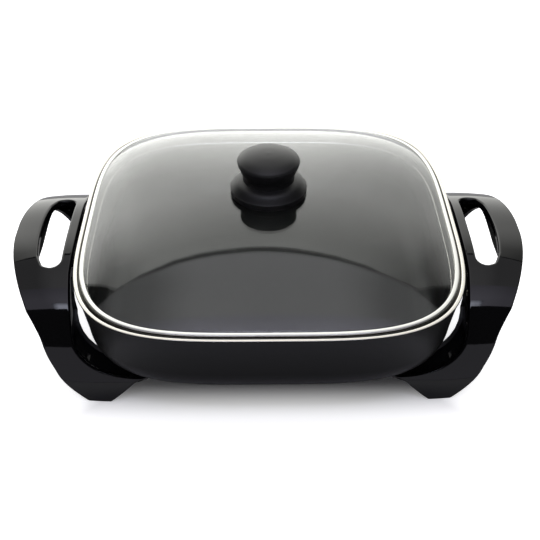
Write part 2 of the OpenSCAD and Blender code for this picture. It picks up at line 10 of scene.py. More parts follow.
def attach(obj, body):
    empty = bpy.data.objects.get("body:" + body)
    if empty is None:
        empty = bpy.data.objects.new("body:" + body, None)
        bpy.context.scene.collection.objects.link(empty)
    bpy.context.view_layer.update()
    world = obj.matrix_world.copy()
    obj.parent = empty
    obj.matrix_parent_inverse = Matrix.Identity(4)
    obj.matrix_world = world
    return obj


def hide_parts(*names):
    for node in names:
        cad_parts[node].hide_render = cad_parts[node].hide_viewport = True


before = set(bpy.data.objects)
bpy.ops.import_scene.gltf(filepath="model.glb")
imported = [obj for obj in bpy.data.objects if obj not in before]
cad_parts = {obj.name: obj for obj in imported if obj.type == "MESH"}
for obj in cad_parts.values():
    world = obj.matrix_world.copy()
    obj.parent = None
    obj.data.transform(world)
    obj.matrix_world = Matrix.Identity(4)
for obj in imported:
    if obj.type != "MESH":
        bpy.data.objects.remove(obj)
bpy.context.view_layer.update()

# ---- Camera ----
# A 65 mm lens on a 36 mm sensor, 0.9 m away and 38 degrees above the table,
# aimed at the front half of the lid.
camera_data = bpy.data.cameras.new("camera")
camera_data.sensor_width = 36
camera_data.lens = 64.75
camera_data.clip_end = 50
camera = bpy.data.objects.new("camera", camera_data)
camera.location = (-0.00862, -0.68778, 0.57138)
camera.rotation_euler = [math.radians(a) for a in (52.2897, -0.1206, -0.744)]
bpy.context.scene.collection.objects.link(camera)
bpy.context.scene.camera = camera


# ---- Studio: floor, backdrop and softboxes ----
# A pale paper floor in a dim room, with a glowing panel behind it, a dark batten
# along the panel's top, a glowing ceiling, one brighter bar and a wall in front.
def colour(code):
    """The linear colour, with alpha, of an sRGB hex code."""
    parts = [int(code[i : i + 2], 16) / 255 for i in (1, 3, 5)]
    return [c / 12.92 if c <= 0.04045 else ((c + 0.055) / 1.055) ** 2.4 for c in parts] + [1]


def node(material, kind, inputs=(), **settings):
    """Adds a shader node; inputs pairs a socket with a value or with another node's output."""
    new = material.node_tree.nodes.new("ShaderNode" + kind)
    for key, value in settings.items():
        setattr(new, key, value)
    for key, value in dict(inputs).items():
        if isinstance(value, bpy.types.NodeSocket):
            material.node_tree.links.new(value, new.inputs[key])
        else:
            new.inputs[key].default_value = value
    return new


def bare_material(name):
    """A material with an empty node tree."""
    material = bpy.data.materials.new(name)
    material.use_nodes = True
    material.node_tree.nodes.clear()
    return material


def surface(material, shader):
    """Shows the shader on the material."""
    node(material, "OutputMaterial", {"Surface": shader.outputs[0]})
    return material


def mesh_object(name, points, faces, materials, face_materials=None):
    """A smooth-shaded mesh object from points in millimetres."""
    mesh = bpy.data.meshes.new(name)
    mesh.from_pydata([tuple(0.001 * c for c in p) for p in points], [], faces)
    for material in materials:
        mesh.materials.append(material)
    mesh.polygons.foreach_set("use_smooth", [True] * len(mesh.polygons))
    if face_materials is not None:
        mesh.polygons.foreach_set("material_index", face_materials)
    mesh.update()
    made = bpy.data.objects.new(name, mesh)
    bpy.context.scene.collection.objects.link(made)
    return made


floor_paper = bare_material("studio_paper")
paper_light = node(floor_paper, "LightPath")
paper_place = node(
    floor_paper, "SeparateXYZ", {0: node(floor_paper, "TexCoord").outputs["Object"]}
)


def paper_math(operation, first, second=0.0):
    """The output of a sum on the paper's nodes."""
    made = node(floor_paper, "Math", {0: first, 1: second}, operation=operation)
    return made.outputs[0]


# The skillet is longer from side to side, so distances that way count for less
side_share = 0.9
paper_x = paper_math("MULTIPLY", paper_math("ABSOLUTE", paper_place.outputs["X"]), side_share)
paper_reach = paper_math("MAXIMUM", paper_x, paper_math("ABSOLUTE", paper_place.outputs["Y"]))
# The paper glows less under the skillet and near its feet, so that their shadow stays:
# it rises between two distances from the middle, in metres, by the share that is third
glow_steps = [(0.1, 0.147, 0.78), (0.13, 0.2, 0.27)]
paper_glow = 0.0
for low, high, lift_share in glow_steps:
    step_up = node(
        floor_paper,
        "MapRange",
        {0: paper_reach, 1: low, 2: high, 3: 0.0, 4: lift_share},
        interpolation_type="SMOOTHSTEP",
    )
    paper_glow = paper_math("ADD", step_up.outputs[0], paper_glow)
paper_lift = paper_math("MULTIPLY", paper_light.outputs["Is Camera Ray"], paper_glow)
surface(
    floor_paper,
    node(
        floor_paper,
        "AddShader",
        {
            0: node(floor_paper, "BsdfDiffuse", {"Color": colour("#f4f4f4")}).outputs[0],
            1: node(
                floor_paper,
                "Emission",
                {"Color": colour("#ffffff"), "Strength": paper_lift},
            ).outputs[0],
        },
    ),
)
floor_size = 3000
floor = mesh_object(
    "floor",
    [(x * floor_size, y * floor_size, 0) for x, y in ((-1, -1), (1, -1), (1, 1), (-1, 1))],
    [(0, 1, 2, 3)],
    [floor_paper],
)

world = bpy.context.scene.world or bpy.data.worlds.new("world")
bpy.context.scene.world = world
world.use_nodes = True
world.node_tree.nodes.clear()
world_path = node(world, "LightPath")
# The room is white to the camera and dim to everything else
world_fade = node(
    world,
    "MixRGB",
    {
        "Fac": world_path.outputs["Is Camera Ray"],
        "Color1": colour("#363636"),
        "Color2": colour("#ffffff"),
    },
)
world_light = node(world, "Background", {"Color": world_fade.outputs[0], "Strength": 1.0})
node(world, "OutputWorld", {"Surface": world_light.outputs[0]})


def softbox(name, corner_points, strength, tint="#ffffff", fades=()):
    """A glowing panel that the camera itself doesn't see.

    Each fade is an axis letter and the (place in metres, share) pairs at its two ends.
    """
    glow = bare_material(name + "_cloth")
    for letter, ends in fades:
        spot = node(
            glow, "SeparateXYZ", {0: node(glow, "TexCoord").outputs["Object"]}
        ).outputs[letter]
        (low, low_strength), (high, high_strength) = ends
        ramp = {0: spot, 1: low, 2: high, 3: low_strength, 4: high_strength}
        part = node(glow, "MapRange", ramp).outputs[0]
        strength = node(glow, "Math", {0: part, 1: strength}, operation="MULTIPLY").outputs[0]
    surface(glow, node(glow, "Emission", {"Color": colour(tint), "Strength": strength}))
    panel = mesh_object(name, corner_points, [tuple(range(len(corner_points)))], [glow])
    panel.visible_camera = False


# The panel's lower corners stand on the floor; its upper edge, given as places
# (across, up) in millimetres, hangs in a bow that the glass of the lid mirrors
back_far = 1700
back_edge = [(1995, 3100), (1546, 2925), (1301, 2810), (1051, 2687), (850, 2512), (706, 2441)]
back_edge += [(479, 2345), (295, 2330), (0, 2300), (-270, 2265), (-453, 2245), (-668, 2277)]
back_edge += [(-812, 2359), (-992, 2440), (-1241, 2550), (-1538, 2710), (-1966, 2800)]
back_sides = [(-2040, 2140), (-2180, 1360), (-2190, 5), (2340, 5), (2330, 1500), (2300, 1930)]
softbox(
    "back_panel",
    [(x, back_far, z) for x, z in back_edge + back_sides],
    1.0,
    "#fefefa",
    [
        ("Z", ((0.55, 2.6), (1.95, 1.15))),
        ("X", ((0.2, 1.0), (1.5, 0.33))),
        ("X", ((-1.4, 0.68), (-0.95, 1.0))),
    ],
)
batten_half = 65
batten_at = back_far - 5
batten = [(x, z - batten_half) for x, z in back_edge]
batten += [(x, z + batten_half) for x, z in back_edge[::-1]]
softbox("backdrop_batten", [(x, batten_at, z) for x, z in batten], 0.02)

# The ceiling starts at the batten and is split at mid_line, where its tint changes
ceiling_z, ceiling_half, mid_line, bow_half = 2900, 3078, -200, 1320
ceiling_edge = [(x, batten_at, z + batten_half) for x, z in back_edge if abs(x) < bow_half]
wing_left = [(-1619, 1802), (-2003, 1736), (-2341, 1635), (-ceiling_half, 1468)]
wing_left += [(-ceiling_half, mid_line), (ceiling_half, mid_line)]
wing_right = [(ceiling_half, 960), (2313, 1248), (2067, 1377), (1837, 1548), (1518, 1664)]
ceiling_edge += [(x, y, ceiling_z) for x, y in wing_left + wing_right]
softbox(
    "ceiling_back_part",
    ceiling_edge,
    1.0,
    "#f8f7fa",
    [
        ("X", ((0.5, 1.0), (1.1, 0.5))),
        ("X", ((-1.1, 0.46), (-0.5, 1.0))),
        ("Y", ((-0.2, 1.0), (1.4, 0.83))),
    ],
)
front_half, front_line = 2200, -1480
front_reach = [(ceiling_half, mid_line), (-ceiling_half, mid_line)]
front_reach += [(-front_half, front_line), (front_half, front_line)]
softbox(
    "ceiling_front_part",
    [(x, y, ceiling_z) for x, y in front_reach],
    1.0,
    "#f0edff",
    [
        ("Y", ((-0.9, 1.35), (-0.2, 0.95))),
        ("X", ((0.5, 1.0), (1.5, 0.6))),
        ("X", ((-1.1, 0.6), (-0.45, 1.0))),
    ],
)

# The bar draws the highlights along the fronts of the grips, and fades at its ends
bar_half, bar_far, bar_near, bar_z = 960, -1130, -1500, 2880
bar_corners = [(1, bar_far), (-1, bar_far), (-1, bar_near), (1, bar_near)]
softbox(
    "key_bar",
    [(side * bar_half, y, bar_z) for side, y in bar_corners],
    4.8,
    "#e8ecff",
    [
        ("X", ((-0.96, 0.18), (-0.83, 1.0))),
        ("X", ((0.83, 1.0), (0.96, 0.18))),
        ("Y", ((-1.3, 1.0), (-1.13, 0.4))),
    ],
)
wall_far, wall_low, wall_high = 3000, 2, 1560
wall_corners = [(-1, wall_low), (1, wall_low), (1, wall_high), (-1, wall_high)]
softbox(
    "front_wall",
    [(side * wall_far, -wall_far, z) for side, z in wall_corners],
    0.5,
    "#f2f0fc",
)


# ---- Pan ----
# Die-cast aluminium, sprayed with a baked-on black non-stick coating; the rim's
# bead, the lid's seat and a band inside the mouth are left bare. Four lugs with
# screw bores take the housings' tongues, four more their webs.
def coating_material(name, code, roughness, grain, ior=1.5):
    """A rough coating; grain is the size of its pores, in millimetres."""
    material = bare_material(name)
    place = node(material, "TexCoord")
    speckle = node(
        material,
        "TexNoise",
        {"Vector": place.outputs["Object"], "Scale": 1000 / grain, "Detail": 2.0},
    )
    bump = node(
        material,
        "Bump",
        {"Height": speckle.outputs[0], "Strength": 0.12, "Distance": 0.0001},
    )
    return surface(
        material,
        node(
            material,
            "BsdfPrincipled",
            {
                "Base Color": colour(code),
                "Roughness": roughness,
                "IOR": ior,
                "Normal": bump.outputs[0],
            },
        ),
    )


def smooth_material(name, code, metallic, roughness, grain):
    """A smooth surface whose shine and level waver a little over its grain.

    The grain is the width, in millimetres, of what its making leaves: the marks of
    a tool, of blasting or of flow.
    """
    material = bare_material(name)
    place = node(material, "TexCoord")
    waver = node(
        material,
        "TexNoise",
        {"Vector": place.outputs["Object"], "Scale": 1000 / grain, "Detail": 3.0},
    )
    shine = {0: waver.outputs[0], 1: 0.3, 2: 0.7, 3: 0.85 * roughness, 4: 1.15 * roughness}
    level = {"Height": waver.outputs[0], "Strength": 0.2, "Distance": 0.00001 * grain}
    values = {
        "Base Color": colour(code),
        "Metallic": metallic,
        "Roughness": node(material, "MapRange", shine).outputs[0],
        "Normal": node(material, "Bump", level).outputs[0],
    }
    return surface(material, node(material, "BsdfPrincipled", values))


def arc(radius, centre, start, end, steps):
    """Points of an arc; its degrees run from the first axis towards the second."""
    angles = [math.radians(start + (end - start) * i / steps) for i in range(steps + 1)]
    return [(centre[0] + radius * math.cos(a), centre[1] + radius * math.sin(a)) for a in angles]


ring_count = 360
corner_power = 3.85


def ring(half, z, power=corner_power):
    """Points of one square-round ring, spaced evenly by direction; power 2 is a circle."""
    points = []
    for i in range(ring_count):
        turn = 2 * math.pi * i / ring_count
        c, s = math.cos(turn), math.sin(turn)
        reach = half / (abs(c) ** power + abs(s) ** power) ** (1 / power)
        points.append((reach * c, reach * s, z))
    return points


def loft(name, rings, materials, ring_materials=None, closed=False):
    """Joins the rings in their order, open at the ends or closed like a tyre."""
    count = len(rings)
    faces, chosen = [], []
    for level in range(count if closed else count - 1):
        low, high = level * ring_count, (level + 1) % count * ring_count
        for i in range(ring_count):
            j = (i + 1) % ring_count
            faces.append((low + i, low + j, high + j, high + i))
            chosen.append(ring_materials[level] if ring_materials else 0)
    return mesh_object(name, [p for r in rings for p in r], faces, materials, chosen)


def crease(piece, degrees=32):
    """Keeps edges sharper than the angle as hard edges."""
    work = bmesh.new()
    work.from_mesh(piece.data)
    for edge in work.edges:
        if len(edge.link_faces) == 2 and edge.calc_face_angle(0) > math.radians(degrees):
            edge.smooth = False
    work.to_mesh(piece.data)
    work.free()


def dress(piece, body, slot, *nodes):
    """Rides a piece on its body and hides the solids it stands for."""
    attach(piece, body)
    if nodes:
        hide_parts(*nodes)


# Sizes in millimetres: half-widths from the middle, heights above the table
rim_half, rim_height, pan_depth = 159.0, 96.5, 67.0
wall_top, wall_foot, bottom_radius = 157.6, 152.2, 28.7
base_half = wall_foot - bottom_radius
base_z = rim_height - pan_depth
pan_wall, pan_floor = 4.4, 4.0
rim_land, seat_width, seat_drop = 3.3, 6.0, 2.4
bead_height, bead_round, land_round, seat_round = 2.4, 0.6, 1.3, 0.4
bead_undercut = 1.2
mouth_band, mouth_step = 14.0, 1.4
seat_half, seat_z = rim_half - rim_land, rim_height - seat_drop
mouth_half = seat_half - seat_width
curve_centre = (base_half, base_z + bottom_radius)
bead_under = rim_height - bead_height
flat_halves = (0.01, 30, 60, 90, 110)
under_side = [(h, base_z) for h in flat_halves]
outside = arc(bottom_radius, curve_centre, -90, 0, 20)
# The wall turns out to the bead in two small steps
neck = [(wall_top, bead_under - 0.6), (wall_top + 0.3, bead_under - 0.2)]
bead_centre = (rim_half - bead_round, rim_height - bead_round)
lip_low = arc(bead_round, (rim_half - bead_undercut, bead_under + bead_round), -90, -25, 4)
lip_low += arc(bead_round, bead_centre, -25, 50, 6)
lip_high = arc(bead_round, bead_centre, 50, 90, 4)
lip_high += arc(land_round, (seat_half + land_round, rim_height - land_round), 90, 180, 8)
seat = arc(seat_round, (seat_half - seat_round, seat_z + seat_round), 0, -90, 3)
mouth = arc(bead_round, (mouth_half + bead_round, seat_z - bead_round), 90, 180, 4)
mouth_foot = rim_height - mouth_band
# Below the bare band the wall steps in, and the coating begins
inner_top = [
    (mouth_half - 0.6, mouth_foot),
    (mouth_half - 0.9, mouth_foot - 0.3),
    (mouth_half - 0.7 - mouth_step, mouth_foot - mouth_step),
    (mouth_half - 0.9 - mouth_step, mouth_foot - mouth_step - 0.6),
]
inner_radius = bottom_radius - pan_floor
inside = [
    (
        base_half + (bottom_radius - pan_wall) * math.cos(math.radians(a)),
        curve_centre[1] + inner_radius * math.sin(math.radians(a)),
    )
    for a in np.linspace(0, -90, 21)
]
inner_floor = [(h, base_z + pan_floor) for h in flat_halves[::-1]]
# Runs of the profile with the finish of each: 0 coated, 1 bare, 2 bare seat darkened with painted
# shade
parts = [
    (under_side + outside + neck, 0),
    (lip_low[:-1], 0),
    (lip_high[:-1], 1),
    (lip_high[-1:] + seat, 2),
    (mouth + inner_top[:1], 1),
    (inner_top[1:] + inside + inner_floor, 0),
]
profile = [p for points, _ in parts for p in points]
profile_materials = [m for points, m in parts for _ in points]
# Fluoropolymer, sprayed and baked: near black, with a low index and fine pores
# that give a soft, dim sheen
nonstick = coating_material("nonstick_coating", "#0a0a09", 0.32, 0.25, 1.35)
# Turned after casting: a bright, slightly warm line; its tool marks are finer
# than this grain, which is as coarse as it needs to be to show
bare_rim = smooth_material("machined_aluminium", "#dcd9d2", 1.0, 0.2, 1.5)
# Bare too, but painted a dark grey: painted shade for the recess under the lid's band
seat_metal_painted_shade = smooth_material("seat_aluminium_painted_shade", "#55544f", 1.0, 0.35, 6.0)
pan = loft(
    "pan_body",
    [ring(h, z) for h, z in profile],
    [nonstick, bare_rim, seat_metal_painted_shade],
    profile_materials,
)
crease(pan, degrees=40)
dress(pan, "skillet", "pan_coating", "pan")


def lathe(name, points, material, steps, centre=(0, 0, 0), axis="Z"):
    """Turns points (radius, height) in so many steps round the axis through the centre."""
    places, faces = [], []
    for i in range(steps):
        turn = 2 * math.pi * i / steps
        for radius, height in points:
            a, b = radius * math.cos(turn), radius * math.sin(turn)
            spot = (a, b, height) if axis == "Z" else (height, a, b)
            places.append([c + d for c, d in zip(centre, spot)])
    count = len(points)
    for i in range(steps):
        j = (i + 1) % steps
        for k in range(count - 1):
            faces.append((i * count + k, j * count + k, j * count + k + 1, i * count + k + 1))
    made = mesh_object(name, places, faces, [material])
    work = bmesh.new()
    work.from_mesh(made.data)
    bmesh.ops.remove_doubles(work, verts=work.verts, dist=1e-6)
    bmesh.ops.recalc_face_normals(work, faces=work.faces)
    work.to_mesh(made.data)
    work.free()
    crease(made)
    return made


corners = [
    (x, y, side + "_" + end)
    for x, side in ((-1, "left"), (1, "right"))
    for y, end in ((-1, "front"), (1, "rear"))
]
lug_bore, lug_steps = 2.05, 48
lug_height, lug_inset = 9, 25.5
pad_top = base_z - lug_height
leg_lug_at = base_half - lug_inset
# Radius and height above the lug's foot, from its bore to the pan's underside
lug_profile = [(lug_bore, 5.3), (lug_bore, 0.3), (2.4, 0), (7.1, 0), (7.5, 0.5), (7.8, 8.3)]
lug_profile.append((9, 9.9))
for x, y, corner in corners:
    place = (x * leg_lug_at, y * leg_lug_at, pad_top)
    lug = lathe("base_lug_" + corner, lug_profile, nonstick, lug_steps, place)
    dress(lug, "skillet", "pan_coating")

web_gap = 4.8
web_half = rim_half + web_gap
web_lug_y, web_lug_z, wall_at_lug = 30, 74.0, 154.0
lug_reach = web_half - wall_at_lug
# Radius and distance from the pan's wall, from the lug's bore to its root
side_profile = [(lug_bore, lug_reach - 6), (lug_bore, lug_reach), (5.2, lug_reach)]
side_profile += [(5.5, lug_reach - 0.4), (5.8, 3), (7.4, 0)]
for x, y, corner in corners:
    outward = [(radius, x * away) for radius, away in side_profile]
    place = (x * wall_at_lug, y * web_lug_y, web_lug_z)
    side_lug = lathe("side_lug_" + corner, outward, nonstick, lug_steps, place, "X")
    dress(side_lug, "skillet", "pan_coating")


# ---- Handle-and-leg housings ----
# Each is one compression-moulded phenolic piece, polished by its mould: grip
# and two legs, hollow behind, with ribs. Screws hold it under the pan's base
# and through the web beside the finger hole.
leg_reach, grip_top = 124.0, 87.0
grip_half, grip_radius = 218.5, 190.0
inner_foot_in, outer_foot_in = 33.8, 15.8
foot_inner, foot_outer = web_half - inner_foot_in, web_half - outer_foot_in
row_step, hole_step = 1.6, 1.3


def smooth_curve(points, steps):
    """A smooth curve through the points, with so many steps in each span."""
    made = []
    for i in range(len(points) - 1):
        p = [points[max(i - 1, 0)], points[i], points[i + 1], points[min(i + 2, len(points) - 1)]]
        for k in range(steps):
            t = k / steps
            made.append(
                tuple(
                    0.5
                    * (
                        2 * b
                        + (c - a) * t
                        + (2 * a - 5 * b + 4 * c - d) * t * t
                        + (3 * b - a - 3 * c + d) * t**3
                    )
                    for a, b, c, d in zip(*p)
                )
            )
    return made + [tuple(points[-1])]


# The face seen from the side is one curve over grip and leg, from the grip's
# middle to the sole; half_s is the distance along it
fine = np.linspace(0, math.pi / 2, 3000)
half_y = leg_reach * np.sin(fine) ** (2 / 3)
half_z = grip_top * np.cos(fine) ** 1.5
half_s = np.concatenate([[0], np.cumsum(np.hypot(np.diff(half_y), np.diff(half_z)))])
s_end = half_s[-1]


def face_place(s):
    """Reach and height of the moulded face at a distance s along it from the grip's middle."""
    side = np.where(np.asarray(s) < 0, -1.0, 1.0)
    return side * np.interp(np.abs(s), half_s, half_y), np.interp(np.abs(s), half_s, half_z)


def face_frame(s):
    """Tangent and outward normal of the face in the (y, z) plane."""
    step = 0.4
    low, high = np.clip(s - step, -s_end, s_end), np.clip(s + step, -s_end, s_end)
    (y0, z0), (y1, z1) = face_place(low), face_place(high)
    length = np.hypot(y1 - y0, z1 - z0)
    ty, tz = (y1 - y0) / length, (z1 - z0) / length
    return ty, tz, -tz, ty


# The moulding's outer edge seen from the front: it falls in an S to the sole
outer_points = smooth_curve(
    [
        (grip_half + 8, grip_top + 7), (grip_half - 8, grip_top - 7),
        (grip_half - 15.5, grip_top - 17), (grip_half - 24.5, grip_top - 27),
        (grip_half - 31.6, grip_top - 37), (grip_half - 36.1, grip_top - 47),
        (foot_outer + 30, 32), (foot_outer + 22, 20),
        (foot_outer + 14.4, 12), (foot_outer + 5, 4), (foot_outer, 0),
    ],
    12,
)
outer_table = np.array(outer_points)[::-1]


def outer_x(y, z):
    """The moulding's outer limit in x at a place in the (y, z) plane."""
    round_x = grip_half - grip_radius + np.sqrt(grip_radius**2 - np.asarray(y) ** 2)
    return np.minimum(round_x, np.interp(z, outer_table[:, 1], outer_table[:, 0]))


def height_to_s(z):
    """Distance along the face at a height."""
    return float(np.interp(-z, -half_z, half_s))


# The inner edge rises from the sole to the tongue, then sweeps round the pan's
# corner on a quarter ellipse
tongue_inset, tongue_z = 31, 20.2
toe_insets = [(5, 3.7), (14.5, 11.5), (19.5, 15.9), (24, 17.8), (tongue_inset, tongue_z)]
under_points = smooth_curve([(foot_inner, 0)] + [(foot_inner - i, z) for i, z in toe_insets], 8)
tongue_x = foot_inner - tongue_inset
sweep_start, sweep_wide, sweep_high = web_half - 57.8, 54, 33
corner_points = [
    (sweep_start + sweep_wide * math.sin(a), pad_top + sweep_high * (1 - math.cos(a)))
    for a in np.linspace(0, math.pi / 2, 40)
]
web_top = grip_top - 6


def respace(points, step):
    """Points of an open line at even distances."""
    line = np.array(points, float)
    along = np.concatenate([[0], np.cumsum(np.hypot(*np.diff(line, axis=0).T))])
    count = max(2, int(round(along[-1] / step)) + 1)
    at = np.linspace(0, along[-1], count)
    return list(zip(*(np.interp(at, along, line[:, i]).tolist() for i in (0, 1))))


# One half of the face's edge, from the grip's middle round the foot and back
outer_run = []
for s in np.linspace(0, s_end, 400):
    y, z = face_place(s)
    outer_run.append((float(outer_x(y, z)), float(s)))
half_loop = []
for run in (
    outer_run,
    [(foot_outer, s_end), (foot_inner, s_end)],
    [(x, height_to_s(z)) for x, z in under_points],
    [(tongue_x, height_to_s(tongue_z)), (tongue_x, height_to_s(pad_top))],
    [(tongue_x, height_to_s(pad_top)), (sweep_start, height_to_s(pad_top))],
    [(x, height_to_s(z)) for x, z in corner_points]
    + [(web_half, height_to_s(web_top)), (web_half, 0)],
):
    points = respace(run, row_step)
    half_loop += points[1:] if half_loop else points
edge_loop = half_loop[:-1] + [(x, -s) for x, s in half_loop[::-1]][:-1]

# The finger hole, seen from above: straight beside the web, bowed beside the grip
hole_inner, hole_outer, hole_half, hole_round = web_half + 9.2, web_half + 32.2, 49.5, 9.0
hole_bow = 220.0
hole_run = []
for y in np.linspace(0, hole_half - hole_round - 4, 30):
    hole_run.append((hole_outer - hole_bow + math.sqrt(hole_bow**2 - y * y), y))
end_x, end_y = hole_run[-1]
hole_centre = (hole_inner + hole_round, hole_half - hole_round)
hole_end = smooth_curve(
    [
        (end_x, end_y),
        (end_x - 2.6, hole_centre[1] + 2.4),
        (hole_centre[0] + 5.6, hole_half - 1.9),
        (hole_centre[0], hole_half),
    ],
    8,
)
hole_left = [
    (hole_centre[0] - hole_round * math.sin(a), hole_centre[1] + hole_round * math.cos(a))
    for a in np.linspace(0, math.pi / 2, 20)
]
hole_run += hole_end[1:] + hole_left[1:] + [(hole_inner, 0)]
hole_half_loop = respace(hole_run, hole_step)


def reach_to_s(y):
    """Distance along the face at a reach to the front or rear."""
    return float(np.interp(y, half_y, half_s))


hole_loop = [(x, reach_to_s(y)) for x, y in hole_half_loop]
hole_loop = hole_loop[:-1] + [(x, -s) for x, s in hole_loop[::-1]][:-1]


def inset_loop(loop, radii, inward):
    """Moves a closed loop sideways; returns the moved points and the unit way out."""
    line = np.array(loop)
    before, after = np.roll(line, 1, axis=0), np.roll(line, -1, axis=0)
    a, b = line - before, after - line
    a /= np.linalg.norm(a, axis=1)[:, None]
    b /= np.linalg.norm(b, axis=1)[:, None]
    side_a, side_b = np.stack([-a[:, 1], a[:, 0]], 1), np.stack([-b[:, 1], b[:, 0]], 1)
    way = side_a + side_b
    way /= np.linalg.norm(way, axis=1)[:, None]
    stretch = 1 / np.clip((way * side_a).sum(1), 0.5, 1)
    return line + inward * way * (radii * stretch)[:, None], -inward * way


def area(loop):
    """Area of a closed loop, positive where it runs anticlockwise."""
    line = np.array(loop)
    after = np.roll(line, -1, axis=0)
    return 0.5 * float((line[:, 0] * after[:, 1] - after[:, 0] * line[:, 1]).sum())


def contains(loop, points):
    """Which points lie inside a closed loop."""
    line = np.array(loop)
    inside_now = np.zeros(len(points), bool)
    x, y = points[:, 0], points[:, 1]
    for (x0, y0), (x1, y1) in zip(line, np.roll(line, -1, axis=0)):
        if y0 == y1:
            continue
        crosses = ((y0 > y) != (y1 > y)) & (x < (x1 - x0) * (y - y0) / (y1 - y0) + x0)
        inside_now ^= crosses
    return inside_now


# The face is rounded over by 2.2 mm at grip and hole, and by less at the feet
full_round = 2.2
edge_turn_way = 1 if area(edge_loop) > 0 else -1
hole_turn_way = 1 if area(hole_loop) > 0 else -1
edge_array = np.array(edge_loop)
edge_z = face_place(edge_array[:, 1])[1]
edge_radii = np.interp(edge_z, [0, 3, 22, 26], [0.7, 1.2, 1.2, full_round])
face_edge, edge_way = inset_loop(edge_loop, edge_radii, edge_turn_way)
hole_radii = np.full(len(hole_loop), full_round)
face_hole, hole_way = inset_loop(hole_loop, hole_radii, -hole_turn_way)

# What is left between the borders is cut into faces over a grid of even points
grid_along, grid_across, grid_gap = 2.0, 6.0, 1.2
grid = np.array(
    [
        (x, s)
        for s in np.arange(-s_end + 1, s_end, grid_along)
        for x in np.arange(leg_lug_at, grip_half, grid_across)
    ]
)
keep = contains(face_edge, grid) & ~contains(face_hole, grid)
borders = np.concatenate([face_edge, face_hole])
gap = np.array([np.hypot(*(borders - g).T).min() for g in grid])
flat_points = np.concatenate([borders, grid[keep & (gap > grid_gap)]])
border_edges = []
for first, count in ((0, len(face_edge)), (len(face_edge), len(face_hole))):
    border_edges += [(first + i, first + (i + 1) % count) for i in range(count)]
cut = delaunay_2d_cdt([Vector(p) for p in flat_points], border_edges, [], 0, 1e-5)
cut_points = np.array([tuple(p) for p in cut[0]])
cut_faces = [tuple(f) for f in cut[2]]
middles = np.array([cut_points[list(f)].mean(0) for f in cut_faces])
good = contains(face_edge, middles) & ~contains(face_hole, middles)
cut_faces = [f for f, g in zip(cut_faces, good) if g]
crown_width, crown_fall = 30.0, 1.8


def lift(points):
    """Face points (x, s) in space, with their normals and tangents.

    The face falls away towards its outer edge, as the moulding is crowned.
    """
    y, z = face_place(points[:, 1])
    ty, tz, ny, nz = face_frame(points[:, 1])
    zero = np.zeros(len(points))
    near_edge = np.clip(1 - (outer_x(y, z) - points[:, 0]) / crown_width, 0, 1)
    flat = np.stack([zero, ny, nz], 1)
    place = np.stack([points[:, 0], y, z], 1) - flat * (crown_fall * near_edge**2)[:, None]
    normal = flat + np.stack([2 * crown_fall * near_edge / crown_width, zero, zero], 1)
    normal /= np.linalg.norm(normal, axis=1)[:, None]
    return place, normal, np.stack([zero, ty, tz], 1)


# The open arch between the legs, seen from the side
arch_points = smooth_curve(
    [(0, 68), (50, 68), (63, 62), (66, 48), (70, 28), (leg_reach - 29, 6), (leg_reach - 25, -2)], 8
)
arch_line = np.array([(-y, z) for y, z in arch_points[::-1]][:-1] + arch_points)


def depth_to_arch(places, normals):
    """How far each face point is from the arch, straight in."""
    start, way = places[:, 1:], -normals[:, 1:]
    a, b = arch_line[:-1], arch_line[1:]
    depths = np.full(len(places), 60.0)
    for p, q in zip(a, b):
        span = q - p
        cross = way[:, 0] * span[1] - way[:, 1] * span[0]
        with np.errstate(divide="ignore", invalid="ignore"):
            d = ((p[0] - start[:, 0]) * span[1] - (p[1] - start[:, 1]) * span[0]) / cross
            t = ((p[0] - start[:, 0]) * way[:, 1] - (p[1] - start[:, 1]) * way[:, 0]) / cross
        hit = (np.abs(cross) > 1e-9) & (t >= 0) & (t <= 1) & (d > 0)
        depths = np.where(hit & (d < depths), d, depths)
    return depths


# The glossy skin is gathered here: first the face, then its rounded borders with
# the walls behind them
skin_points, skin_normals, skin_faces = [], [], []


def add_skin(points, normals, faces):
    """Adds faces, with the normals that shade them, to the skin."""
    base = len(skin_points)
    skin_points.extend(map(tuple, points))
    skin_normals.extend(map(tuple, normals))
    skin_faces.extend(tuple(base + i for i in f) for f in faces)


place, normal, _ = lift(cut_points)
add_skin(place, normal, cut_faces)
round_steps, wall_steps = 6, 8


def add_border(start, way, radii, depths, limit, straight_down=False):
    """Rounds the face over its border and carries the wall back behind it."""
    place, normal, tangent = lift(start)
    out = np.stack([way[:, 0], way[:, 1] * tangent[:, 1], way[:, 1] * tangent[:, 2]], 1)
    out -= normal * (out * normal).sum(1)[:, None]
    out /= np.linalg.norm(out, axis=1)[:, None]
    reach = radii[:, None]
    rows, shades = [], []
    for k in range(round_steps + 1):
        turn = math.pi / 2 * k / round_steps
        rows.append(place + reach * (math.sin(turn) * out - (1 - math.cos(turn)) * normal))
        shades.append(math.cos(turn) * normal + math.sin(turn) * out)
    end, inward = rows[-1], -normal
    if straight_down:
        inward = np.tile([0.0, 0.0, -1.0], (len(place), 1))
    for k in range(1, wall_steps + 1):
        rows.append(end + inward * ((depths - radii) * k / wall_steps)[:, None])
        shades.append(out)
    if limit is not None:
        edge = rows[round_steps]
        base_x = limit(edge[:, 1] + normal[:, 1] * radii, edge[:, 2] + normal[:, 2] * radii)
        for row in rows[1:]:
            row[:, 0] += np.where(way[:, 0] > 0.35, limit(row[:, 1], row[:, 2]) - base_x, 0)
    # The walls end at the soles, on the table
    for row in rows:
        row[:, 2] = np.maximum(row[:, 2], 0)
    count = len(start)
    faces = []
    for k in range(len(rows) - 1):
        for i in range(count):
            j = (i + 1) % count
            faces.append((k * count + i, k * count + j, (k + 1) * count + j, (k + 1) * count + i))
    add_skin(np.concatenate(rows), np.concatenate(shades), faces)


edge_place, edge_normal, _ = lift(face_edge)
edge_depths = depth_to_arch(edge_place, edge_normal)
